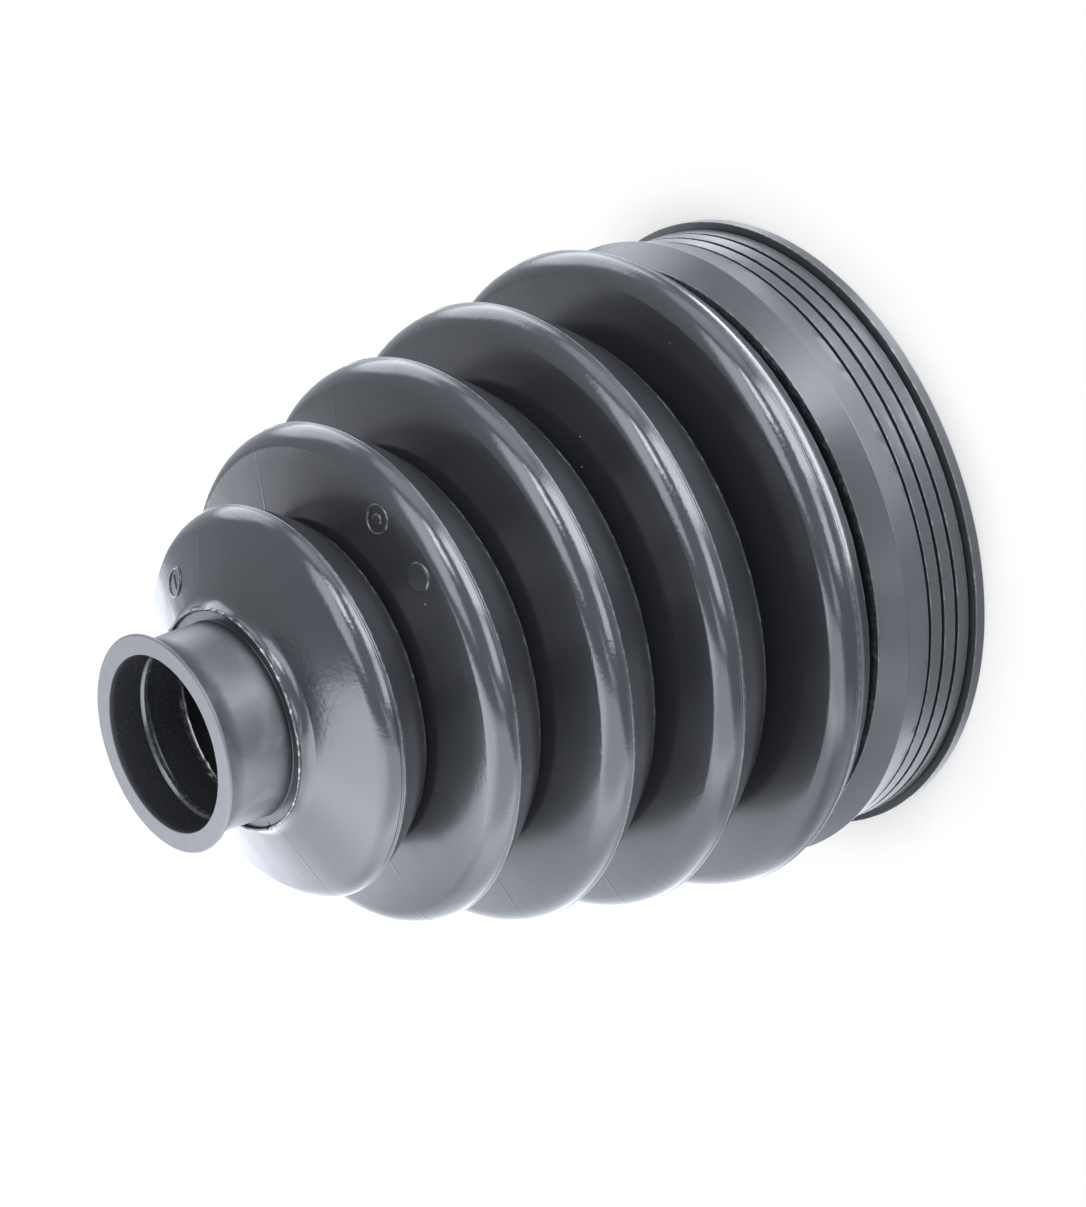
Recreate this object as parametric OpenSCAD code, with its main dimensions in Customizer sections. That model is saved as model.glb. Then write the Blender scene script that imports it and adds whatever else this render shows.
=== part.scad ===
// Rubber bellows boot: one moulded piece with a small round mouth, five folds
// that grow in diameter, and a wide ribbed collar. All sizes in millimetres.
// It stands on its large end with its axis on Z. The origin is the centre of
// the large end face. Every "from the mouth" distance runs down the axis from
// the small end face.

/* [Overall] */
// full length between the two end faces
height = 108.2; // [90:0.1:130]
// wall thickness of the folds
wall_t = 1.2; // [0.8:0.1:2.5]

/* [Small end] */
// radius of the mouth and of the bore behind it
bore_r = 12.5; // [10:0.1:16]
// outer radius of the mouth lip
lip_r = 15.35; // [12:0.05:20]
// thickness of the lip at its rim
lip_t = 0.75; // [0.4:0.05:2]
// outer radius of the lip where the flare starts
lip_back_r = 14.9; // [12:0.1:20]
// distance from the mouth at which the flare has run out on the neck
flare_end = 3.9; // [2:0.1:6]
// outer radius of the neck, the seat of the small clamp band
neck_r = 13.9; // [11:0.1:18]
// distance from the mouth to the step at the root of the neck
neck_len = 11.0; // [8:0.1:16]
// outer radius of that step
step_r = 15.8; // [13:0.1:20]
// distance from the mouth to the bead inside the bore
bead_at = 5.2; // [3:0.1:8]
// width of the bead along the bore
bead_w = 1.4; // [0.8:0.1:3]
// height of the bead over the bore wall
bead_h = 0.35; // [0.1:0.05:0.8]

/* [Folds] */
// radius of each fold's crest, from the small end
crest_r = [27.9, 35.8, 40.8, 44.2, 47.1]; // [20:0.1:60]
// distance of each crest from the mouth
crest_at = [18.9, 32.1, 47.6, 64.2, 82.5]; // [10:0.1:100]
// lean of each front face away from a flat disc, in degrees
face_lean = [21, 11.2, 16.2, 15.3, 13.3]; // [0:0.1:40]
// length from each ridge, along the steep flank in front of it, to where the
// flank and the front face would meet without their round
flank_len = [2.5, 3.2, 3.2, 3.2, 3.2]; // [0.5:0.1:6]
// radius of the sharp edge where each crest's sloping back ends
edge_r = [24.0, 30.6, 35.4, 39.0, 44.7]; // [15:0.1:60]
// distance of those edges from the mouth
edge_at = [26.0, 40.3, 56.3, 73.1, 87.0]; // [10:0.1:100]
// radius of the bottom of the root behind each fold
root_r = [21.3, 27.3, 30.0, 30.6, 36.8]; // [15:0.1:50]
// distance from the mouth of the foot of each back wall
root_at = [26.0, 40.5, 56.9, 75.1, 87.6]; // [10:0.1:100]
// outward bulge of the sloping backs
back_bulge = 0.3; // [0.05:0.05:1]
// radius of the round between each front face and the flank of its crest
crest_round = 3.3; // [0.5:0.1:6]
// radius of the round at the bottom of the roots
root_round = 0.3; // [0.2:0.05:0.8]
// radius of the concave round between the step and the first face
first_round = 2.2; // [0.5:0.1:4]

/* [Large end] */
// radius of the inner rim of the collar's cone, next to the last fold
cone_r = 43.25; // [30:0.05:60]
// distance of that rim from the mouth
cone_at = 89.9; // [80:0.1:110]
// radius of the shoulder behind the cone
shoulder_r = 45.75; // [30:0.05:60]
// distance of the shoulder edge from the mouth
shoulder_at = 93.5; // [80:0.1:110]
// outer radius of the ribbed clamp seat
seat_r = 44.3; // [30:0.05:60]
// distance from the mouth to the first groove of the seat
seat_at = 98.35; // [80:0.05:115]
// number of ribs on the seat
ribs = 3; // [1:1:6]
// width of one rib
rib_w = 1.93; // [0.8:0.01:5]
// width of the groove in front of each rib
groove_w = 0.61; // [0.3:0.01:2]
// depth of the grooves
groove_d = 0.6; // [0.2:0.05:1.5]
// outer radius of the end lip
end_lip_r = 45.35; // [30:0.05:60]
// bore radius of the large end
big_bore_r = 42.0; // [30:0.1:58]

/* [Moulded marks] */
// outer radius of the ring marks
mark_r = 2.2; // [1:0.1:4]
// wall of the ring marks
mark_w = 0.45; // [0.2:0.05:1]
// height of the marks over the face
mark_h = 0.2; // [0.05:0.05:0.6]

/* [Hidden] */
$fn = 180;
last = len(crest_r) - 1;
// distance of each ridge behind the top of its crest
ridge = 0.6;
// slope of the flank in front of each ridge, in degrees
flank = 82;

// unit vector along v
function unit(v) = v / norm(v);

// left-hand normal of the line from a to b
function normal(a, b) = let (u = unit(b - a)) [-u[1], u[0]];

// a list in the other order
function reverse(v) = [for (i = [len(v) - 1 : -1 : 0]) v[i]];

// points of the arc that rounds corner b, between neighbours a and c
function round_pts(a, b, c, rad, n) =
    rad <= 0 ? [b] :
    let (u = unit(a - b), w = unit(c - b),
         h = acos(max(-1, min(1, u * w))) / 2,
         ctr = b + unit(u + w) * rad / sin(h),
         e0 = unit(u * rad / tan(h) + b - ctr), e1 = unit(w * rad / tan(h) + b - ctr),
         turn = 180 - 2 * h)
    [for (i = [0 : n]) ctr + rad * (sin(turn * (1 - i / n)) * e0 + sin(turn * i / n) * e1) / sin(turn)];

// outline of a closed polygon given as [radius, distance from the mouth, round, steps]
function rounded(v) = [for (i = [0 : len(v) - 1])
    let (a = v[(i + len(v) - 1) % len(v)], b = v[i], c = v[(i + 1) % len(v)])
    each round_pts([a[0], a[1]], [b[0], b[1]], [c[0], c[1]], b[2], b[3])];

// corner of a wall, moved inwards by t from the skin corner b
function inset(a, b, c, t) =
    let (m = normal(a, b), n = normal(b, c)) b + t * (m + n) / (1 + m * n);

// ridge of fold k
function top(k) = [crest_r[k], crest_at[k] + ridge];

// where fold k's front face and the flank of its crest would meet
function corner(k) = top(k) - flank_len[k] * [cos(flank), sin(flank)];

// distance from the mouth of fold k's front face at radius r
function face_s(k, r) = corner(k)[1] - (corner(k)[0] - r) * tan(face_lean[k]);

// corners of the skin of fold k: corner of face and flank, ridge, middle of the
// back, back edge, foot of the back wall and foot of the next face
function skin(k) =
    let (top = top(k), edge = [edge_r[k], edge_at[k]],
         mid = (top + edge) / 2 + back_bulge * -normal(top, edge))
    [corner(k), top, mid, edge, [root_r[k], root_at[k]],
     k < last ? [root_r[k], face_s(k + 1, root_r[k])] : [root_r[k], cone_at + 0.1]];

// radius of the arc that bulges fold k's back
function back_arc(k) =
    let (half = norm([crest_r[k] - edge_r[k], crest_at[k] + ridge - edge_at[k]]) / 2)
    0.85 * half * half / (2 * back_bulge) * 2;

// outside of fold k
function fold_out(k) = let (p = skin(k))
    [concat(p[0], [crest_round, 10]), concat(p[1], [0, 0]), concat(p[2], [back_arc(k), 6]),
     concat(p[3], [0.12, 2]), concat(p[4], [root_round, 4]), concat(p[5], [root_round, 4])];

// the skin corners of all folds, from the first face to the last root
start = [bore_r, face_s(0, bore_r)];
finish = [cone_r, cone_at];
chain = concat([start], [for (k = [0 : last]) each skin(k)], [finish]);

// rounds of the inner corners, in the order of the skin corners of one fold
inner_round = [[2, 5], [0, 0], [6, 3], [0.8, 3], [1.0, 5], [1.0, 5]];

// inside of all folds, one wall thickness under the skin
folds_in = [for (i = [1 : len(chain) - 2])
    concat(inset(chain[i - 1], chain[i], chain[i + 1], wall_t), inner_round[(i - 1) % 6])];

// small end outside, from the mouth to the first face
small_out = [
    [bore_r, 0, 0, 0],
    [lip_r, 0, 0.22, 4],
    [lip_r, lip_t - 0.3, 0.15, 3],
    [lip_back_r, lip_t, 0.05, 2],
    [neck_r, flare_end - 1.2, 5, 8],
    [neck_r, neck_len, 0, 0],
    [step_r, neck_len + 0.05, 0.1, 2],
    [step_r + 0.35, face_s(0, step_r + 0.35), first_round, 6]];

// start of the plain wall behind the ribs
ribs_end = seat_at + ribs * (groove_w + rib_w);

// collar outside: cone, shoulder, ribs and end lip
collar_out = concat(
    [[cone_r, cone_at, 0.1, 2],
     [shoulder_r, shoulder_at, 0.25, 2],
     [seat_r + 0.1, seat_at, 0, 0]],
    [for (i = [0 : ribs - 1])
        let (g = seat_at + i * (groove_w + rib_w))
        each [[seat_r - groove_d, g + 0.02, 0, 0],
              [seat_r - groove_d, g + groove_w - 0.02, 0, 0],
              [seat_r, g + groove_w, 0, 0],
              [seat_r, g + groove_w + rib_w, 0, 0]]],
    [[seat_r - 0.25, ribs_end + 0.02, 0, 0],
     [seat_r - 0.25, ribs_end + 0.45, 0, 0],
     [end_lip_r, ribs_end + 0.55, 0.1, 2],
     [end_lip_r - 0.1, height, 0.2, 2],
     [big_bore_r, height, 0.3, 2]]);

// large end inside, up to the last root
collar_in = [[big_bore_r, cone_at + 1.4, 0.5, 3]];

// small end inside: the end of the bore, the bead and the bore
small_in = [
    [bore_r, face_s(0, bore_r) + wall_t + 0.2, 1.4, 6],
    [bore_r, bead_at + bead_w, 0, 0],
    [bore_r - bead_h, bead_at + bead_w - 0.35, 0, 0],
    [bore_r - bead_h, bead_at + 0.35, 0, 0],
    [bore_r, bead_at, 0, 0]];

outside = concat(small_out, [for (k = [0 : last]) each fold_out(k)], collar_out);
inside = concat(collar_in, reverse(folds_in), small_in);

// the whole section, as radius and height over the large end face
section = [for (p = rounded(concat(outside, inside))) [p[0], height - p[1]]];

// puts a mark on the front face of fold k, at radius r and angle a
module on_face(k, r, a) {
    rotate([0, 0, a])
        translate([r, 0, height - face_s(k, r)])
            rotate([0, face_lean[k], 0])
                children();
}

// raised ring, its foot sunk in the wall
module ring_mark() {
    translate([0, 0, -0.4])
        difference() {
            cylinder(r = mark_r, h = 0.4 + mark_h);
            translate([0, 0, -1]) cylinder(r = mark_r - mark_w, h = 3);
        }
}

// raised disc of radius r, its foot sunk in the wall
module disc_mark(r, h) {
    translate([0, 0, -0.4]) cylinder(r = r, h = 0.4 + h);
}

// the boot: its section turned round the axis, with the moulded marks
module bellows_boot() {
    color([0.09, 0.095, 0.105]) union() {
        rotate_extrude() polygon(section);
        on_face(1, 30.5, -53.2) ring_mark();
        on_face(1, 30.5, -53.2) disc_mark(0.95, mark_h);
        on_face(1, 30.4, -72.5) disc_mark(mark_r - 0.1, 0.12);
        on_face(1, 29.2, -79.2) disc_mark(0.25, 0.15);
        on_face(0, 21.4, 19.3) ring_mark();
        on_face(0, 21.4, 19.3) translate([-1.3, -0.2, -0.4]) cube([2.6, 0.4, 0.4 + mark_h * 0.8]);
    }
}

bellows_boot();
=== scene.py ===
import math

import bpy
import numpy as np
from mathutils import Matrix, Vector

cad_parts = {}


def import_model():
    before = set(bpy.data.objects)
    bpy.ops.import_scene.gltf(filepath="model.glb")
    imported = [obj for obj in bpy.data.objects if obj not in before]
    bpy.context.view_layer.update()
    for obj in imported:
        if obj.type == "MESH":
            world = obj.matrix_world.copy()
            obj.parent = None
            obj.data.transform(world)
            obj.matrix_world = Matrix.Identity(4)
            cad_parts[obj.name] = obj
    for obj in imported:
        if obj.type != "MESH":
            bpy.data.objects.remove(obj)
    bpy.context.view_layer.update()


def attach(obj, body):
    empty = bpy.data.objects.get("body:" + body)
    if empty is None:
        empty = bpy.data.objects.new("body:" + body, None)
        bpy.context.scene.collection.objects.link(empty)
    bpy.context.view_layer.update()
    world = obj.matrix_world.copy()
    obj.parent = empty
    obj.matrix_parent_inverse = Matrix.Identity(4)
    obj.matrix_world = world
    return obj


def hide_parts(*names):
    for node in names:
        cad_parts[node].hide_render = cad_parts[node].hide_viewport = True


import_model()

# ---------------------------------------------------------------------------
# The boot's section. Millimetres; r is the radius, s the distance from the
# mouth, and the height over the floor is H - s. The numbers are part.scad's.
# ---------------------------------------------------------------------------
H = 108.2
WALL = 1.2
BORE_R, LIP_R, LIP_T, LIP_BACK_R = 12.5, 15.35, 0.75, 14.9
FLARE_END, NECK_R, NECK_LEN, STEP_R = 3.9, 13.9, 11.0, 15.8
BEAD_AT, BEAD_W, BEAD_H = 5.2, 1.4, 0.35
CREST_R = [27.9, 35.8, 40.8, 44.2, 47.1]
CREST_AT = [18.9, 32.1, 47.6, 64.2, 82.5]
LEAN = [21, 11.2, 16.2, 15.3, 13.3]
FLANK_LEN = [2.5, 3.2, 3.2, 3.2, 3.2]
EDGE_R = [24.0, 30.6, 35.4, 39.0, 44.7]
EDGE_AT = [26.0, 40.3, 56.3, 73.1, 87.0]
ROOT_R = [21.3, 27.3, 30.0, 30.6, 36.8]
ROOT_AT = [26.0, 40.5, 56.9, 75.1, 87.6]
BULGE, CREST_ROUND, ROOT_ROUND, FIRST_ROUND = 0.3, 3.3, 0.3, 2.2
RIDGE, FLANK = 0.6, 82
CONE_R, CONE_AT, SHOULDER_R, SHOULDER_AT = 43.25, 89.9, 45.75, 93.5
SEAT_R, SEAT_AT, RIBS, RIB_W, GROOVE_W, GROOVE_D = 44.3, 98.35, 3, 1.93, 0.61, 0.6
END_LIP_R, BIG_BORE_R = 45.35, 42.0
LAST = len(CREST_R) - 1


def tand(a):
    return math.tan(math.radians(a))


def unit(v):
    return v / np.linalg.norm(v)


def left(a, b):
    u = unit(b - a)
    return np.array([-u[1], u[0]])


UP_FLANK = np.array([math.cos(math.radians(FLANK)), math.sin(math.radians(FLANK))])


def corner(k):
    return np.array([CREST_R[k], CREST_AT[k] + RIDGE]) - FLANK_LEN[k] * UP_FLANK


def face_s(k, r):
    c = corner(k)
    return c[1] - (c[0] - r) * tand(LEAN[k])


def skin(k):
    top = np.array([CREST_R[k], CREST_AT[k] + RIDGE])
    edge = np.array([EDGE_R[k], EDGE_AT[k]])
    mid = (top + edge) / 2 - BULGE * left(top, edge)
    foot = face_s(k + 1, ROOT_R[k]) if k < LAST else CONE_AT + 0.1
    return [np.array(p, float) for p in (
        corner(k), top, mid, edge, [ROOT_R[k], ROOT_AT[k]], [ROOT_R[k], foot])]


def back_arc(k):
    half = math.hypot(CREST_R[k] - EDGE_R[k], CREST_AT[k] + RIDGE - EDGE_AT[k]) / 2
    return 0.85 * half * half / (2 * BULGE) * 2


def corners():
    """The closed outline as (r, s, round, steps, tag, longest straight step)."""
    c = []

    def add(r, s, rad=0.0, n=0, tag="", step=2.0):
        c.append((float(r), float(s), rad, n, tag, step))

    # small end, outside
    add(BORE_R, 0, 0.12, 2, "ring", 0.8)
    add(LIP_R, 0, 0.22, 4, "ring")
    add(LIP_R, LIP_T - 0.3, 0.15, 3, "lip")
    add(LIP_BACK_R, LIP_T, 0.05, 2, "neck", 1.0)
    add(NECK_R, FLARE_END - 1.2, 5, 8, "neck", 1.0)
    # the step under the neck: a crease, a narrow land, its flash and an undercut
    add(NECK_R, NECK_LEN + 0.42, 0.10, 2, "notch", 0.7)
    add(STEP_R - 0.55, NECK_LEN + 0.52, 0.08, 1, "step", 0.5)
    add(STEP_R - 0.34, NECK_LEN + 0.03, 0.05, 1, "step", 0.5)
    add(STEP_R, NECK_LEN, 0.07, 2, "stepedge", 1.1)
    add(STEP_R - 0.08, NECK_LEN + 0.45, 0.06, 1, "undercut", 1.1)
    add(STEP_R + 0.35, face_s(0, STEP_R + 0.35), FIRST_ROUND, 5, "face0", 1.1)
    # folds, outside; the parting line runs along each ridge, as two fine
    # grooves and a narrow bead
    for k in range(LAST + 1):
        p = skin(k)
        d = unit(p[2] - p[1])
        n = np.array([UP_FLANK[1], -UP_FLANK[0]])
        m = np.array([d[1], -d[0]])
        add(*p[0], CREST_ROUND, 10, "crest%d" % k, 0.6)
        for at, deep in ((0.62, 0), (0.585, 0.03), (0.53, 0), (0.33, 0), (0.29, 0.055), (0.19, 0)):
            add(*(p[1] - at * UP_FLANK - deep * n), 0, 0, "line%d" % k)
        add(*(p[1] + 0.035 * unit(n + m)), 0.42, 4, "bead%d" % k, 0.5)
        add(*(p[1] + 0.5 * d), 0.3, 1, "back%d" % k, 1.6)
        add(*p[2], back_arc(k) * 0.8, 4, "back%d" % k, 2.2)
        add(*p[3], 0.12, 2, "edge%d" % k, 2.4)
        add(*(p[3] + 0.35 * unit(p[4] - p[3])), 0, 0, "wall%d" % k, 2.4)
        add(*p[4], ROOT_ROUND, 2, "root%d" % k, 2.8)
        add(*p[5], ROOT_ROUND, 2, "root%d" % k, 1.9)
    # collar, outside
    add(CONE_R, CONE_AT, 0.1, 2, "conerim", 1.4)
    add(CONE_R + 0.171, CONE_AT + 0.246, 0, 0, "coneface", 1.4)
    add(SHOULDER_R, SHOULDER_AT, 0.25, 3, "shoulder", 1.7)
    add(SEAT_R + 0.1, SEAT_AT, 0.06, 2, "seat", 1.0)
    for i in range(RIBS):
        g = SEAT_AT + i * (GROOVE_W + RIB_W)
        add(SEAT_R - 0.14, g + 0.01, 0, 0, "groove")
        add(SEAT_R - GROOVE_D, g + 0.04, 0, 0, "groove")
        add(SEAT_R - GROOVE_D, g + GROOVE_W - 0.04, 0, 0, "groove")
        add(SEAT_R - 0.14, g + GROOVE_W - 0.01, 0, 0, "groove")
        add(SEAT_R, g + GROOVE_W, 0.06, 1, "rib", 1.0)
        add(SEAT_R, g + GROOVE_W + 0.2, 0, 0, "band", 1.0)
        add(SEAT_R, g + GROOVE_W + RIB_W - 0.2, 0, 0, "band", 1.0)
        add(SEAT_R, g + GROOVE_W + RIB_W, 0.06, 1, "rib")
    e = SEAT_AT + RIBS * (GROOVE_W + RIB_W)
    add(SEAT_R - 0.14, e + 0.01, 0, 0, "groove")
    add(SEAT_R - 0.45, e + 0.05, 0, 0, "groove")
    add(SEAT_R - 0.45, e + 0.45, 0, 0, "groove")
    add(END_LIP_R - 0.2, e + 0.52, 0, 0, "groove")
    add(END_LIP_R, e + 0.55, 0.06, 2, "endlip")
    add(END_LIP_R - 0.01, e + 0.85, 0, 0, "band")
    add(END_LIP_R - 0.1, H, 0.2, 3, "endface", 1.0)
    # inside
    add(BIG_BORE_R, H, 0.3, 2, "inside", 5.0)
    add(BIG_BORE_R, CONE_AT + 1.4, 0.5, 2, "inside", 5.0)
    start = np.array([BORE_R, face_s(0, BORE_R)])
    chain = [start] + [p for k in range(LAST + 1) for p in skin(k)] + [np.array([CONE_R, CONE_AT])]
    rounds = [(2, 3), (0, 0), (6, 2), (0.8, 2), (1.0, 2), (1.0, 2)]
    for i in range(len(chain) - 2, 0, -1):
        m, n = left(chain[i - 1], chain[i]), left(chain[i], chain[i + 1])
        q = chain[i] + WALL * (m + n) / (1 + m @ n)
        add(*q, *rounds[(i - 1) % 6], "inside", 7.0)
    add(BORE_R, face_s(0, BORE_R) + WALL + 0.2, 1.4, 6, "boreend", 0.8)
    add(BORE_R, face_s(0, BORE_R), 0, 0, "bore", 2.5)
    add(BORE_R, BEAD_AT + BEAD_W, 0.1, 2, "bore", 1.0)
    add(BORE_R - BEAD_H, BEAD_AT + BEAD_W - 0.4, 0.25, 4, "bead_in")
    add(BORE_R - BEAD_H, BEAD_AT + 0.4, 0.25, 4, "bead_in")
    add(BORE_R, BEAD_AT, 0.1, 2, "bore", 1.0)
    return c


def outline():
    """Points of the closed outline with the directions in which the line
    arrives and leaves, and their tags."""
    c = corners()
    n = len(c)
    pts, tin, tout, tags = [], [], [], []
    for i in range(n):
        a, b, d = (np.array(c[j % n][:2]) for j in (i - 1, i, i + 1))
        rad, steps, tag, step = c[i][2:]
        if rad <= 0:
            arc = [(b, unit(b - a), unit(d - b))]
        else:
            u, w = unit(a - b), unit(d - b)
            h = math.acos(max(-1.0, min(1.0, float(u @ w)))) / 2
            ctr = b + unit(u + w) * rad / math.sin(h)
            p0, p1 = b + u * rad / math.tan(h), b + w * rad / math.tan(h)
            e0, e1 = unit(p0 - ctr), unit(p1 - ctr)
            turn = math.pi - 2 * h
            arc = []
            for t in range(steps + 1):
                f = t / steps
                v = (math.sin(turn * (1 - f)) * e0 + math.sin(turn * f) * e1) / math.sin(turn)
                g = np.array([-v[1], v[0]])
                if g @ (d - a) < 0:
                    g = -g
                arc.append((ctr + rad * v, g, g))
        for p, s0, s1 in arc:
            pts.append(p)
            tin.append(s0)
            tout.append(s1)
            tags.append(tag)
        # points along the straight stretch up to the next corner
        q = np.array(c[(i + 1) % n][:2])
        nr = c[(i + 1) % n][2]
        if nr > 0:
            u, w = unit(b - q), unit(np.array(c[(i + 2) % n][:2]) - q)
            h = math.acos(max(-1.0, min(1.0, float(u @ w)))) / 2
            q = q + u * nr / math.tan(h)
        gap = q - pts[-1]
        m = int(math.ceil(np.linalg.norm(gap) / step)) if np.linalg.norm(gap) > 1e-6 else 0
        for t in range(1, m):
            pts.append(arc[-1][0] + gap * t / m)
            tin.append(unit(gap))
            tout.append(unit(gap))
            tags.append(tag)
    keep = [i for i in range(len(pts)) if np.linalg.norm(pts[i] - pts[i - 1]) > 1e-5]
    return (np.array([pts[i] for i in keep]), np.array([tin[i] for i in keep]),
            np.array([tout[i] for i in keep]), [tags[i] for i in keep])


# ---------------------------------------------------------------------------
# Mesh of the boot: the outline turned round the axis, with the small
# unevenness of a moulding: seams, flash and slow waves in the faces.
# ---------------------------------------------------------------------------
SEAMS = [math.radians(-1.2), math.radians(178.8)]
SEAM_OFF = [-0.7, -0.35, -0.18, -0.06, 0.06, 0.18, 0.35, 0.7]
PLAIN = 84


def columns(r):
    """Angles of the columns at radius r (array), one row per radius."""
    cols = []
    for base in SEAMS:
        for o in SEAM_OFF:
            cols.append(base + o / r)
        lo, hi = math.radians(4.0), math.pi - math.radians(4.0)
        for t in range(PLAIN + 1):
            cols.append(np.full_like(r, base + lo + (hi - lo) * t / PLAIN))
    return np.stack(cols, 1)


def waves(rng, theta, l, length, count, amp):
    """A smooth random height field over the turned surface. l is the distance
    along the outline in mm; length the usual wavelength in mm at r = 35."""
    out = np.zeros_like(theta)
    m0 = 2 * math.pi * 35 / length
    for _ in range(count):
        a = rng.uniform(0, 2 * math.pi)
        f = rng.uniform(0.6, 1.5)
        m = int(round(m0 * f * math.cos(a)))
        q = 2 * math.pi / length * f * math.sin(a)
        out += np.cos(m * theta + q * l[:, None] + rng.uniform(0, 2 * math.pi))
    return out * amp * math.sqrt(2.0 / count)


def ragged(rng, theta, knots, power=1.0):
    """Random values round the axis, from 0 to 1, smooth between the knots."""
    v = rng.uniform(0, 1, knots) ** power
    x = (theta % (2 * math.pi)) / (2 * math.pi) * knots
    i = np.floor(x).astype(int)
    f = x - i
    f = f * f * (3 - 2 * f)
    return v[i % knots] * (1 - f) + v[(i + 1) % knots] * f


def tagged(tags, *names):
    return np.array([any(t.startswith(n) for n in names) for t in tags])


def build_boot():
    P, Tin, Tout, tags = outline()
    n = len(P)
    rz = np.stack([P[:, 0], H - P[:, 1]], 1)
    area = 0.5 * np.sum(rz[:, 0] * np.roll(rz[:, 1], -1) - np.roll(rz[:, 0], -1) * rz[:, 1])
    side = 1.0 if area > 0 else -1.0
    flip = lambda t: np.stack([t[:, 0], -t[:, 1]], 1)
    ti, to = flip(Tin), flip(Tout)
    normal = lambda t: side * np.stack([t[:, 1], -t[:, 0]], 1)
    ni, no = normal(ti), normal(to)
    nm = ni + no
    nm /= np.linalg.norm(nm, axis=1)[:, None]
    r = P[:, 0]
    l = np.concatenate([[0], np.cumsum(np.linalg.norm(np.diff(P, axis=0), axis=1))])
    theta = columns(r)
    rng = np.random.RandomState(11)

    face = tagged(tags, "face", "crest", "back", "line", "bead", "edge", "wall", "root").astype(float)
    face -= np.array([t == "bead_in" for t in tags])
    outer = 1.0 - tagged(tags, "inside", "boreend", "bore", "bead_in").astype(float)
    neck = tagged(tags, "neck", "ring", "lip", "notch", "step").astype(float)
    collar = tagged(tags, "cone", "shoulder", "seat", "rib", "band", "groove", "end").astype(float)
    inside = tagged(tags, "inside").astype(float)
    h = waves(rng, theta, l, 26.0, 26, 0.030) * (0.9 * face + 0.5 * collar + 0.1 * neck)[:, None]
    h += waves(rng, theta, l, 9.0, 30, 0.0060) * face[:, None]
    h += waves(rng, theta, l, 7.0, 22, 0.006) * neck[:, None]
    h += waves(rng, theta, l, 10.0, 20, 0.02) * inside[:, None]
    # mould seams along the two meridians, stronger on the folds
    amp = (0.032 * face + 0.02 * tagged(tags, "neck", "step") + 0.03 * collar) * outer
    amp = amp * (0.65 + 0.35 * np.sin(l * 0.55 + 0.4))
    for base in SEAMS:
        off = ((theta - base + math.pi) % (2 * math.pi) - math.pi) * r[:, None]
        near = np.exp(-(off / 0.13) ** 2)
        h += amp[:, None] * near
        h -= 0.35 * amp[:, None] * np.exp(-((off - 0.33) / 0.16) ** 2)
    # a nick where the second seam meets the step
    h -= 0.40 * near * tagged(tags, "step").astype(float)[:, None]
    # flash at the step under the neck, ragged and nicked
    rag = ragged(rng, theta, 230, 2.4) * (0.35 + 0.65 * ragged(rng, theta, 22))
    h += 0.28 * rag * tagged(tags, "stepedge").astype(float)[:, None]
    # small flash and nicks on the sharp back edges and on the collar's rims
    for name, knots, size in (("edge4", 260, 0.10), ("edge3", 200, 0.035), ("edge2", 190, 0.035),
                              ("edge1", 170, 0.03), ("edge0", 150, 0.03), ("conerim", 240, 0.05)):
        v = ragged(rng, theta, knots, 3.0) * (0.25 + 0.75 * ragged(rng, theta, 24, 1.4))
        h += size * v * tagged(tags, name).astype(float)[:, None]
    for i, t in enumerate(tags):
        if t in ("rib", "seat", "endlip") and np.linalg.norm(Tin[i] - Tout[i]) < 1e-6:
            h[i] += 0.022 * ragged(rng, theta[i], 200, 2.0)
    # the parting bead on the ridges isn't even
    for k in range(LAST + 1):
        v = 0.3 + 0.7 * ragged(rng, theta, 90, 1.2)
        h += 0.012 * v * tagged(tags, "bead%d" % k).astype(float)[:, None]
    # the rubber round the bore's inner end is lumpy
    lump = ragged(rng, theta, 120, 2.0) * (0.3 + 0.7 * ragged(rng, theta, 14)) - 0.2
    h += 0.26 * lump * tagged(tags, "boreend").astype(float)[:, None]

    # slopes of h along and across the rows, for exact normals
    dth = np.roll(theta, -1, 1) - np.roll(theta, 1, 1)
    dth = np.where(dth < -math.pi, dth + 2 * math.pi, dth)
    dth = np.where(dth > math.pi, dth - 2 * math.pi, dth)
    h_t = (np.roll(h, -1, 1) - np.roll(h, 1, 1)) / (dth * r[:, None])
    step = np.linalg.norm(np.roll(P, -1, 0) - P, axis=1)
    d_out = (np.roll(h, -1, 0) - h) / step[:, None]
    d_in = np.roll(d_out, 1, 0)
    smooth = (np.abs(Tin - Tout).sum(1) < 1e-6)
    d_mid = 0.5 * (d_in + d_out)
    lim = lambda x: np.clip(x, -0.35, 0.35)
    di = lim(np.where(smooth[:, None], d_mid, d_in))
    do = lim(np.where(smooth[:, None], d_mid, d_out))
    h_t = lim(h_t)

    cs, sn = np.cos(theta), np.sin(theta)
    R = r[:, None] + h * nm[:, 0][:, None]
    Z = (H - P[:, 1])[:, None] + h * nm[:, 1][:, None]
    Z = np.maximum(Z, 0.0)
    co = np.stack([R * cs, R * sn, Z], 2) * 0.001

    def world(nv, tv, dl):
        a = nv[:, 0][:, None] - dl * tv[:, 0][:, None]
        z = nv[:, 1][:, None] - dl * tv[:, 1][:, None]
        v = np.stack([a * cs + h_t * sn, a * sn - h_t * cs, z + 0 * cs], 2)
        return v / np.linalg.norm(v, axis=2)[:, :, None]

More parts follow.
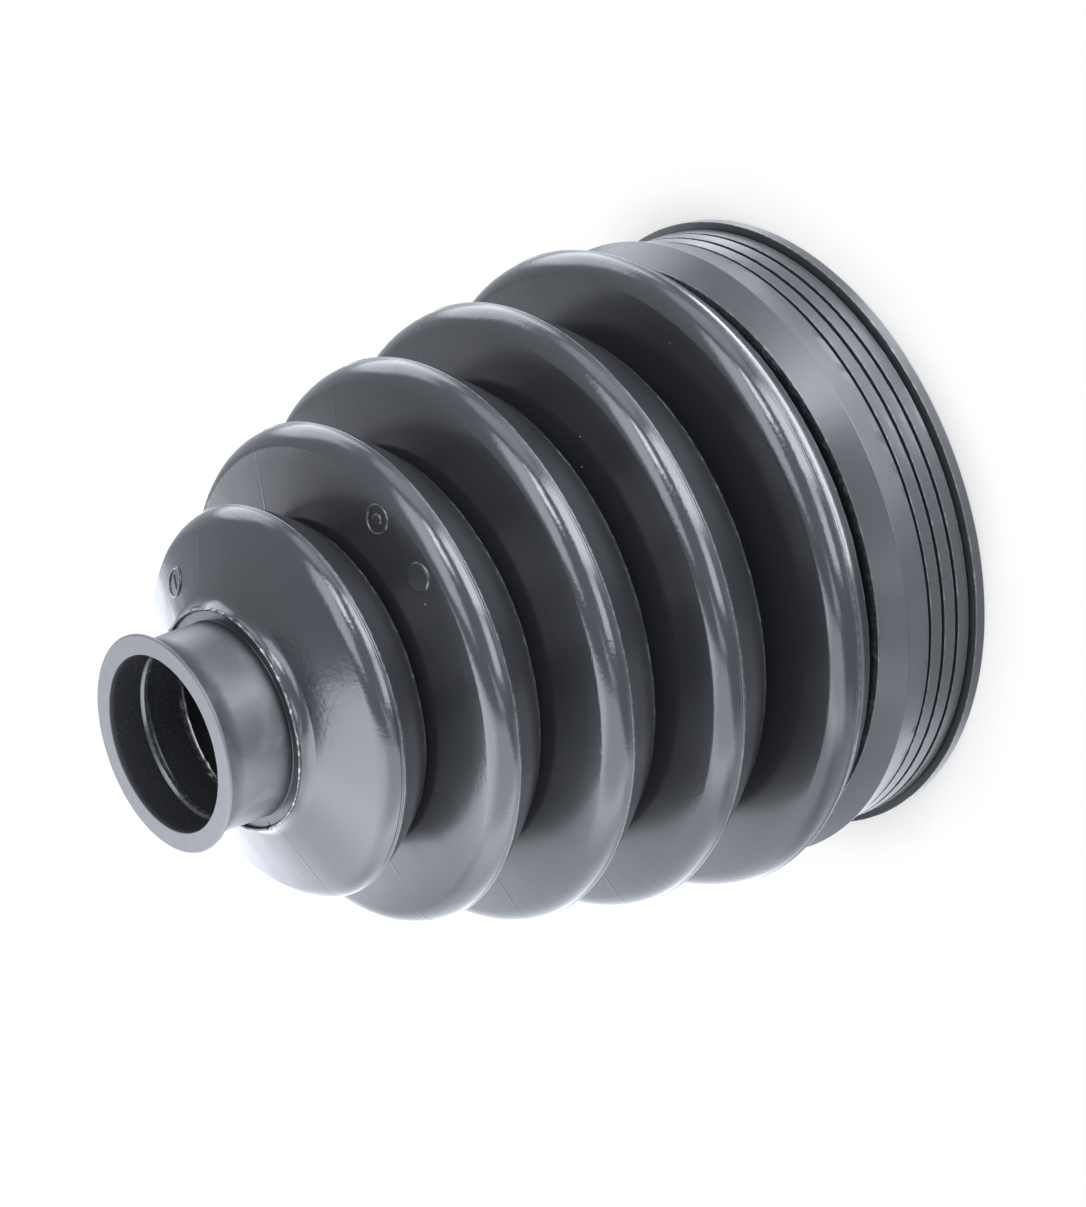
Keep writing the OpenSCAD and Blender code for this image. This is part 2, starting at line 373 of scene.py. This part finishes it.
    Ni, No = world(ni, ti, di), world(no, to, do)
    m = theta.shape[1]
    idx = np.arange(n * m).reshape(n, m)
    i0, i1 = idx, np.roll(idx, -1, 0)
    j0, j1 = slice(None), np.roll(np.arange(m), -1)
    quads = np.stack([i0, i0[:, j1], i1[:, j1], i1], 2)
    N4 = np.stack([No, No[:, j1], np.roll(Ni, -1, 0)[:, j1], np.roll(Ni, -1, 0)], 2)
    if side > 0:
        quads = quads[:, :, ::-1]
        N4 = N4[:, :, ::-1]
    quads = quads.reshape(-1, 4)
    N4 = N4.reshape(-1, 4, 3)
    co = co.reshape(-1, 3)
    # outward winding
    a, b, c, d = (co[quads[:, q]] for q in range(4))
    vol = np.einsum("ij,ij->i", a, np.cross(b, c)).sum() + np.einsum("ij,ij->i", a, np.cross(c, d)).sum()
    if vol < 0:
        quads, N4 = quads[:, ::-1], N4[:, ::-1]

    # finish of each point: matte (neck, ring face), cloudy (neck), wear with a painted glint (bright
    # thin edges), pebbly (first fold beside the step), and painted shade (dark creases and recesses)
    rr = np.broadcast_to(r[:, None], theta.shape)
    deg = np.degrees((theta + math.pi) % (2 * math.pi) - math.pi)
    matte = (1.0 * tagged(tags, "ring", "lip") + 0.95 * tagged(tags, "neck")
             + 0.25 * tagged(tags, "notch", "step") + 0.62 * collar
             + 0.25 * tagged(tags, "bore") + 0.6 * inside)
    cloudy = (tagged(tags, "neck").astype(float) + 0.25 * tagged(tags, "ring")
              + 0.15 * tagged(tags, "cone", "shoulder", "seat"))
    # painted shade: a darker colour in the notch, undercut, ring grooves, valley roots, parting-line grooves, the
    # step's land and the bore; on the neck a darker tone overall, deepening into painted shade toward the step
    painted_shade_and_tone = (0.95 * tagged(tags, "notch", "undercut", "groove") + 0.6 * tagged(tags, "bore", "root")
            + 0.5 * tagged(tags, "line") + 0.9 * np.array([t == "step" for t in tags])
            + tagged(tags, "neck") * (0.25 + 0.65 * np.clip((P[:, 1] - NECK_LEN + 2.4) / 2.0, 0, 1)))
    full = lambda v: np.broadcast_to(np.asarray(v, float)[:, None], theta.shape).reshape(-1)
    # worn and nicked edges, partly real wear and partly a painted glint: brighter where the flash stands out most
    wear_and_glint = np.zeros_like(theta)
    wear_and_glint += 0.1 * tagged(tags, "bead").astype(float)[:, None]
    wear_and_glint += tagged(tags, "stepedge").astype(float)[:, None] * np.clip(0.30 + 1.5 * rag, 0, 1)
    for names, knots, low, high in ((("edge", "conerim"), 230, 0.12, 0.5), (("rib", "endlip"), 250, 0.12, 0.7),
                                    (("boreend",), 150, 0.05, 0.9)):
        v = ragged(rng, theta, knots, 3.0) * (0.3 + 0.7 * ragged(rng, theta, 31, 1.5))
        wear_and_glint += tagged(tags, *names).astype(float)[:, None] * (low + high * v)
    f0 = tagged(tags, "face0").astype(float)[:, None]
    peb = f0 * np.exp(-(((rr - 20.0) / 3.6) ** 2)) * (0.25 + 0.75 * np.exp(-((deg + 62) / 38) ** 2))
    f1 = tagged(tags, "face1").astype(float)[:, None]
    peb = peb + 0.35 * f1 * np.exp(-((deg + 14) / 9) ** 2) * np.exp(-(((rr - 32.5) / 2.2) ** 2))
    # bumpy skin where each face turns into its crest
    bumpy = tagged(tags, "crest").astype(float)
    for i in np.nonzero(bumpy)[0]:
        bumpy[i - 1] = max(bumpy[i - 1], 0.6)
    return co, quads, N4, dict(matte=full(matte), cloudy=full(cloudy), wear_and_glint=wear_and_glint.reshape(-1), painted_shade_and_tone=full(np.clip(painted_shade_and_tone, 0, 1)),
                               pebbly=peb.reshape(-1), bumpy=full(bumpy))


# ---------------------------------------------------------------------------
# Moulded marks: rings, discs and pimples on the front faces. Each follows its
# face exactly and has its foot sunk in the wall.
# ---------------------------------------------------------------------------
def on_face(k, r0, deg, x, y, up):
    """Point on fold k's front face, x mm outwards and y mm round the axis from
    the place (r0, deg), raised by up mm."""
    lean = math.radians(LEAN[k])
    a = math.radians(deg)
    rad = r0 + x * math.cos(lean)
    px, py = rad, y
    r = math.hypot(px, py)
    th = a + math.atan2(py, px)
    z = H - face_s(k, r) + up * math.cos(lean)
    r = r + up * math.sin(lean)
    return [r * math.cos(th), r * math.sin(th), z]


def lathe_mark(k, r0, deg, section, count=56, squeeze=1.0):
    """A small turned form on a face. section is [(rho, up)] from outside in;
    its first point is sunk. The last point closes in the middle if rho is 0."""
    co, quads = [], []
    for rho, up in section:
        for j in range(count):
            t = 2 * math.pi * j / count
            co.append(on_face(k, r0, deg, rho * math.cos(t), rho * math.sin(t) * squeeze, up))
    for i in range(len(section) - 1):
        for j in range(count):
            j1 = (j + 1) % count
            quads.append([i * count + j, i * count + j1, (i + 1) * count + j1, (i + 1) * count + j])
    return co, quads


def ring_section(r, w, h):
    """Closed rounded section of a raised ring with outer radius r."""
    c, q = r - w / 2, w / 2
    top = [(c + q * math.cos(math.radians(a)), h * math.sin(math.radians(a)) ** 0.8)
           for a in (0.001, 25, 50, 70, 90, 110, 130, 155, 179.999)]
    return [(r + 0.02, -0.3)] + top + [(r - w - 0.02, -0.3), (r + 0.02, -0.3)]


def disc_section(r, h, e=0.22):
    return [(0.001, -0.3), (r + 0.02, -0.3), (r, 0.0), (r - 0.25 * e, h * 0.55), (r - 0.6 * e, h * 0.9), (r - e, h),
            (0.5 * r, h * 1.03), (0.001, h * 1.05)]


def bar(k, r0, deg, length, width, h, turn=0.0, x0=0.0, y0=0.0):
    """A raised bar with rounded top on a face."""
    co, quads = [], []
    n, c, s = 12, math.cos(math.radians(turn)), math.sin(math.radians(turn))
    prof = [(-0.5, -0.3), (-0.5, 0.0), (-0.42, 0.6), (-0.25, 0.95), (0, 1.0), (0.25, 0.95), (0.42, 0.6), (0.5, 0.0), (0.5, -0.3)]
    for i in range(n + 1):
        t = -1 + 2 * i / n
        end = max(0.0, 1 - max(0.0, abs(t) - 0.8) / 0.2) ** 0.5
        for w, up in prof:
            x, y = t * length / 2, w * width * (0.35 + 0.65 * end)
            co.append(on_face(k, r0, deg, x0 + x * c - y * s, y0 + x * s + y * c, up * (h * end if up > 0 else 1)))
    p = len(prof)
    for i in range(n):
        for j in range(p):
            j1 = (j + 1) % p
            quads.append([i * p + j, i * p + j1, (i + 1) * p + j1, (i + 1) * p + j])
    quads.append(list(range(p))[::-1])
    quads.append([n * p + j for j in range(p)])
    return co, quads


def outward(co, quads):
    v = np.array(co)
    c = v.mean(0)
    vol = 0.0
    for q in quads:
        a = v[q[0]] - c
        for t in range(1, len(q) - 1):
            vol += a @ np.cross(v[q[t]] - c, v[q[t + 1]] - c)
    return quads if vol > 0 else [q[::-1] for q in quads]


def marks():
    out = []
    # fold 2: a ring with a boss in it, a flat disc, and a pimple
    out.append(lathe_mark(1, 30.5, -53.2, ring_section(2.2, 0.45, 0.22), 48))
    out.append(lathe_mark(1, 30.5, -53.2, disc_section(0.95, 0.20, 0.3), 32))
    out.append(lathe_mark(1, 30.4, -72.5, disc_section(2.1, 0.17, 0.3), 48))
    out.append(lathe_mark(1, 29.2, -79.2, disc_section(0.25, 0.15, 0.12), 16))
    # fold 1: a ring with a bar in it
    out.append(lathe_mark(0, 21.4, 19.3, ring_section(2.2, 0.45, 0.22), 48))
    out.append(bar(0, 21.4, 19.3, 2.6, 0.4, 0.18))
    # small dots and specks left by the mould
    for k, r, a, s in ((3, 36.6, -57.5, 0.20), (3, 33.8, -62.2, 0.16), (2, 33.2, -21.0, 0.14), (0, 23.2, -32.8, 0.12),
                       (4, 42.0, -48.7, 0.16), (1, 31.8, -99.7, 0.14), (2, 37.3, -88.0, 0.13)):
        out.append(lathe_mark(k, r, a, disc_section(s, 0.09, 0.1), 14))
    return out


def make_piece():
    co, quads, N4, fin = build_boot()
    base = len(co)
    faces = [tuple(q) for q in quads.tolist()]
    extra_co, extra_n = [], 0
    for c, q in marks():
        q = outward(c, q)
        off = base + len(extra_co)
        extra_co += c
        faces += [tuple(off + i for i in f) for f in q]
    allco = np.concatenate([co, np.array(extra_co) * 0.001])
    me = bpy.data.meshes.new("boot")
    me.from_pydata(allco.tolist(), [], faces)
    me.update()
    ob = bpy.data.objects.new("boot", me)
    bpy.context.scene.collection.objects.link(ob)
    for p in me.polygons:
        p.use_smooth = True
    # marks: plain smooth normals; boot: the exact ones
    me.update()
    vn = np.zeros(len(me.vertices) * 3)
    me.vertices.foreach_get("normal", vn)
    vn = vn.reshape(-1, 3)
    loops = np.zeros(len(me.loops), int)
    me.loops.foreach_get("vertex_index", loops)
    ln = vn[loops].copy()
    ln[:len(N4) * 4] = N4.reshape(-1, 3)
    me.normals_split_custom_set(ln.tolist())
    for name, v in fin.items():
        at = me.attributes.new(name, "FLOAT", "POINT")
        pad = np.zeros(len(allco) - base)
        at.data.foreach_set("value", np.concatenate([v, pad]).astype(np.float32))
    return ob


# ---------------------------------------------------------------------------
# Rubber
# ---------------------------------------------------------------------------
class Nodes:
    def __init__(self, tree):
        self.t = tree
        tree.nodes.clear()

    def new(self, kind, **inputs):
        n = self.t.nodes.new(kind)
        for k, v in inputs.items():
            if k in n.inputs:
                self.put(n.inputs[k], v)
            else:
                setattr(n, k, v)
        return n

    def put(self, socket, v):
        if isinstance(v, bpy.types.NodeSocket):
            self.t.links.new(v, socket)
        else:
            socket.default_value = v

    def math(self, op, a, b=0.0, c=None, clamp=False):
        n = self.t.nodes.new("ShaderNodeMath")
        n.operation = op
        n.use_clamp = clamp
        self.put(n.inputs[0], a)
        self.put(n.inputs[1], b)
        if c is not None:
            self.put(n.inputs[2], c)
        return n.outputs[0]

    def noise(self, vec, scale, detail=2.0, rough=0.5, distort=0.0):
        n = self.t.nodes.new("ShaderNodeTexNoise")
        self.put(n.inputs["Vector"], vec)
        n.inputs["Scale"].default_value = scale
        n.inputs["Detail"].default_value = detail
        n.inputs["Roughness"].default_value = rough
        n.inputs["Distortion"].default_value = distort
        return n.outputs["Fac"]

    def ramp(self, v, lo, hi, a=0.0, b=1.0):
        n = self.t.nodes.new("ShaderNodeMapRange")
        n.interpolation_type = "SMOOTHSTEP"
        self.put(n.inputs["Value"], v)
        n.inputs["From Min"].default_value = lo
        n.inputs["From Max"].default_value = hi
        n.inputs["To Min"].default_value = a
        n.inputs["To Max"].default_value = b
        return n.outputs["Result"]

    def mixc(self, f, a, b):
        n = self.t.nodes.new("ShaderNodeMix")
        n.data_type = "RGBA"
        self.put(n.inputs[0], f)
        self.put(n.inputs[6], a)
        self.put(n.inputs[7], b)
        return n.outputs[2]

    def attr(self, name):
        n = self.t.nodes.new("ShaderNodeAttribute")
        n.attribute_name = name
        return n.outputs["Fac"]


def rubber():
    mat = bpy.data.materials.new("boot_rubber")
    mat.use_nodes = True
    g = Nodes(mat.node_tree)
    out = g.new("ShaderNodeOutputMaterial")
    bsdf = g.new("ShaderNodeBsdfPrincipled")
    g.t.links.new(bsdf.outputs[0], out.inputs[0])
    obj = g.new("ShaderNodeTexCoord").outputs["Object"]
    matte, cloudy, wear_and_glint, painted_shade_and_tone, pebbly, bumpy = (g.attr(n) for n in ("matte", "cloudy", "wear_and_glint", "painted_shade_and_tone", "pebbly", "bumpy"))

    smudge = g.ramp(g.noise(obj, 130, 3, 0.6, 0.8), 0.46, 0.70)
    broad = g.noise(obj, 45, 2, 0.5)
    fine = g.noise(obj, 1500, 3, 0.65)
    lit = g.math("MULTIPLY_ADD", painted_shade_and_tone, -1.5, 1.0, clamp=True)
    speck = g.math("MULTIPLY", g.ramp(fine, 0.70, 0.78), lit)

    col = g.mixc(matte, (0.0125, 0.0130, 0.0143, 1), (0.0295, 0.0298, 0.0308, 1))
    cloud = g.math("MULTIPLY", smudge, cloudy)
    col = g.mixc(g.math("MULTIPLY", cloud, 0.6), col, (0.070, 0.075, 0.083, 1))
    # painted shade: creases, grooves, roots, step land and bore mixed toward near black, and the neck darker
    col = g.mixc(g.math("MULTIPLY", painted_shade_and_tone, 0.75), col, (0.004, 0.0043, 0.005, 1))
    # painted glint with some wear: light flecks along the back edges, the step's flash, the ribs and the bore's inner
    # end
    nicks = g.ramp(g.noise(obj, 1250, 2, 0.55), 0.44, 0.62, 0.15, 1.0)
    col = g.mixc(g.math("MULTIPLY", wear_and_glint, nicks), col, (0.24, 0.245, 0.255, 1))
    col = g.mixc(g.math("MULTIPLY", speck, 0.10), col, (0.16, 0.165, 0.17, 1))
    g.put(bsdf.inputs["Base Color"], col)

    rough = g.math("MULTIPLY_ADD", matte, 0.22, 0.165)
    rough = g.math("MULTIPLY_ADD", g.math("SUBTRACT", broad, 0.5), 0.08, rough)
    rough = g.math("MULTIPLY_ADD", cloud, 0.12, rough)
    rough = g.math("MULTIPLY_ADD", pebbly, 0.08, rough)
    rough = g.math("MULTIPLY_ADD", painted_shade_and_tone, 0.10, rough)
    rough = g.math("MULTIPLY_ADD", g.math("SUBTRACT", fine, 0.5), 0.10, rough, clamp=True)
    g.put(bsdf.inputs["Roughness"], rough)
    bsdf.inputs["IOR"].default_value = 1.5
    bsdf.inputs["Specular IOR Level"].default_value = 0.5

    # skin: slow orange peel, a fine grain, patches of bumps on the crests and
    # the micro wrinkles of the first fold
    peel = g.noise(obj, 520, 2, 0.55)
    patch = g.ramp(g.noise(obj, 70, 2, 0.5), 0.40, 0.62, 0.25, 1.0)
    bumps = g.math("MULTIPLY", g.math("MULTIPLY", bumpy, patch), g.noise(obj, 1700, 2, 0.6))
    bumps = g.math("MULTIPLY_ADD", fine, g.math("MULTIPLY", lit, 0.14), bumps)
    bump1 = g.new("ShaderNodeBump", Strength=1.0, Distance=0.000012, Height=peel)
    bump2 = g.new("ShaderNodeBump", Strength=1.0, Distance=0.000032, Height=bumps, Normal=bump1.outputs[0])
    peb = g.math("MULTIPLY", pebbly, g.noise(obj, 1100, 3, 0.6, 0.5))
    bump3 = g.new("ShaderNodeBump", Strength=1.0, Distance=0.00007, Height=peb, Normal=bump2.outputs[0])
    g.put(bsdf.inputs["Normal"], bump3.outputs[0])
    return mat


boot = make_piece()
boot.data.materials.append(rubber())
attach(boot, "root")
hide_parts("bellows_boot")

# ---------------------------------------------------------------------------
# Camera: the photograph's view of the boot
# ---------------------------------------------------------------------------
ROT = Matrix(((-0.34350967, 0.93914914, 0.0),
              (-0.52973786, -0.19376057, -0.82573279),
              (-0.77548624, -0.2836472, 0.56406148)))
cam_data = bpy.data.cameras.new("camera")
cam_data.lens = 154.85
cam_data.sensor_width = 36.0
cam_data.clip_start = 0.02
cam_data.clip_end = 20.0
camera = bpy.data.objects.new("camera", cam_data)
bpy.context.scene.collection.objects.link(camera)
camera.matrix_world = Matrix.Translation((0.000221612575, -0.604012139, 0.455088505)) @ ROT.to_4x4()
bpy.context.scene.camera = camera


def seen(right, up, toward):
    """A direction given as the picture shows it, in the row frame."""
    return (ROT @ Vector((right, up, toward))).normalized()


# ---------------------------------------------------------------------------
# Floor and light
# ---------------------------------------------------------------------------
def floor():
    me = bpy.data.meshes.new("floor")
    q = 3.0
    me.from_pydata([(-q, -q, 0), (q, -q, 0), (q, q, 0), (-q, q, 0)], [], [(0, 1, 2, 3)])
    ob = bpy.data.objects.new("floor", me)
    bpy.context.scene.collection.objects.link(ob)
    mat = bpy.data.materials.new("floor")
    mat.use_nodes = True
    g = Nodes(mat.node_tree)
    out = g.new("ShaderNodeOutputMaterial")
    # burnt out like the photograph's, with a soft contact shadow
    near = g.new("ShaderNodeAmbientOcclusion", samples=4, Distance=0.022)
    open_sky = g.ramp(near.outputs["AO"], 0.25, 0.62, 0.0, 1.0)
    col = g.mixc(open_sky, (0.42, 0.425, 0.44, 1), (1.0, 1.0, 1.0, 1))
    # and painted shade, a dark disc, where the boot stands over it
    n = g.new("ShaderNodeVectorMath", operation="LENGTH")
    g.put(n.inputs[0], g.new("ShaderNodeTexCoord").outputs["Object"])
    col = g.mixc(g.ramp(n.outputs["Value"], 0.0425, 0.0448), (0.06, 0.061, 0.064, 1), col)
    e = g.new("ShaderNodeEmission", Color=col, Strength=1.0)
    g.t.links.new(e.outputs[0], out.inputs[0])
    me.materials.append(mat)
    ob.visible_glossy = False
    ob.visible_diffuse = False
    ob.visible_shadow = False
    return ob


floor()


# The photograph's table as the picture shows it: its upward direction, one
# axis to the right along it and one toward the viewer. Lights are placed by
# azimuth (from right toward the viewer) and elevation over that table.
UP = seen(0, 0.977, 0.213)
RIGHT = seen(1, 0, 0)
NEAR = seen(0, -0.213, 0.977)
TINT = (0.934, 0.978, 1.078, 1)

# name, azimuth, elevation, half widths, soft edge (degrees), brightness
SKY = [
    ("fill", 0, 50, 200, 52, 6, 1.1),
    ("softbox_right", 40, 46, 26, 17, 8, 12.0),
    ("softbox_right_low", 51, 13, 13, 13, 7, 8.0),
    ("softbox_left", 131, 26, 16, 30, 8, 5.6),
    ("strip_left", 102, 47, 8, 12, 6, 17.0),
    ("sweep_back", 306, 10, 21, 14, 6, 7.0),
    ("sweep_edge", 340, 18, 14, 8, 6, 1.8),
    ("sweep_high", 333, 47, 17, 13, 6, 6.0),
    ("back_left", 240, 38, 33, 17, 8, 3.5),
    ("ceiling", 0, 84, 200, 14, 8, 2.4),
]
# name, middle and half size along RIGHT, the same along NEAR, soft edge (m)
CARD = [
    ("table_all", 0.0, 3.0, 0.0, 3.0, 0.1, 0.9),
    ("table_left", -0.17, 0.11, -0.09, 0.236, 0.03, 3.0),
    ("table_near", -0.085, 0.108, 0.12, 0.05, 0.02, 3.6),
    ("table_mid", -0.026, 0.028, 0.048, 0.034, 0.015, 2.3),
    ("table_left_far", -0.62, 0.36, -0.17, 0.08, 0.03, 1.5),
    ("table_under", 0.03, 0.023, -0.05, 0.135, 0.02, 1.3),
    ("table_front", 0.03, 0.035, 1.6, 1.4, 0.03, 3.8),
    ("table_far", -0.10, 0.18, -1.65, 1.4, 0.05, 3.2),
]


def plateau(g, x, half, soft):
    """1 within half of zero, falling to 0 over the soft edge."""
    return g.ramp(g.math("ABSOLUTE", x), half - soft / 2, half + soft / 2, 1.0, 0.0)


def dotted(g, vec, v):
    n = g.t.nodes.new("ShaderNodeVectorMath")
    n.operation = "DOT_PRODUCT"
    g.put(n.inputs[0], vec)
    n.inputs[1].default_value = v
    return n.outputs["Value"]


def summed(g, parts):
    total = parts[0]
    for p in parts[1:]:
        total = g.math("ADD", total, p)
    return total


def level(g, name, value, shape):
    s = g.math("MULTIPLY", shape, value)
    s.node.label = name
    return s


def card():
    """The pale table of the photograph, as a light only: it shines on the
    boot and nothing else, and the camera doesn't see it."""
    q, off = 3.0, UP * -0.0512
    me = bpy.data.meshes.new("table_light")
    me.from_pydata([off + RIGHT * a + NEAR * b for a, b in ((-q, -q), (q, -q), (q, q), (-q, q))], [], [(0, 1, 2, 3)])
    ob = bpy.data.objects.new("table_light", me)
    bpy.context.scene.collection.objects.link(ob)
    mat = bpy.data.materials.new("table_light")
    mat.use_nodes = True
    g = Nodes(mat.node_tree)
    out = g.new("ShaderNodeOutputMaterial")
    obj = g.new("ShaderNodeTexCoord").outputs["Object"]
    a, b = dotted(g, obj, RIGHT), dotted(g, obj, NEAR)
    parts = []
    for name, ca, ha, cb, hb, soft, value in CARD:
        shape = g.math("MULTIPLY", plateau(g, g.math("SUBTRACT", a, ca), ha, soft),
                       plateau(g, g.math("SUBTRACT", b, cb), hb, soft))
        parts.append(level(g, name, value, shape))
    e = g.new("ShaderNodeEmission", Color=TINT, Strength=summed(g, parts))
    g.t.links.new(e.outputs[0], out.inputs[0])
    me.materials.append(mat)
    ob.visible_camera = False
    ob.visible_shadow = False
    only = bpy.data.collections.new("lit_by_table")
    only.objects.link(boot)
    ob.light_linking.receiver_collection = only


card()


def studio():
    world = bpy.data.worlds.new("studio")
    bpy.context.scene.world = world
    world.use_nodes = True
    g = Nodes(world.node_tree)
    out = g.new("ShaderNodeOutputWorld")
    d = g.new("ShaderNodeTexCoord").outputs["Generated"]
    parts = []
    el = g.math("MULTIPLY", g.math("ARCSINE", dotted(g, d, UP)), 180 / math.pi)
    for name, az, mid, half_az, half_el, soft, value in SKY:
        c, s = math.cos(math.radians(az)), math.sin(math.radians(az))
        x, y = dotted(g, d, RIGHT * c + NEAR * s), dotted(g, d, NEAR * c - RIGHT * s)
        turn = g.math("MULTIPLY", g.math("ARCTAN2", y, x), 180 / math.pi)
        shape = g.math("MULTIPLY", plateau(g, turn, half_az, soft), plateau(g, g.math("SUBTRACT", el, mid), half_el, soft))
        parts.append(level(g, name, value, shape))
    light = g.new("ShaderNodeBackground", Color=TINT, Strength=summed(g, parts))
    pale = g.new("ShaderNodeBackground", Color=(1.0, 1.0, 1.0, 1), Strength=1.0)
    path = g.t.nodes.new("ShaderNodeLightPath")
    mix = g.t.nodes.new("ShaderNodeMixShader")
    g.t.links.new(path.outputs["Is Camera Ray"], mix.inputs[0])
    g.t.links.new(light.outputs[0], mix.inputs[1])
    g.t.links.new(pale.outputs[0], mix.inputs[2])
    g.t.links.new(mix.outputs[0], out.inputs[0])


studio()

scene = bpy.context.scene
scene.view_settings.view_transform = "Standard"
scene.view_settings.look = "None"
scene.view_settings.exposure = 0.0
scene.view_settings.gamma = 1.0

print("boot: %d triangles" % sum(len(p.vertices) - 2 for p in boot.data.polygons))
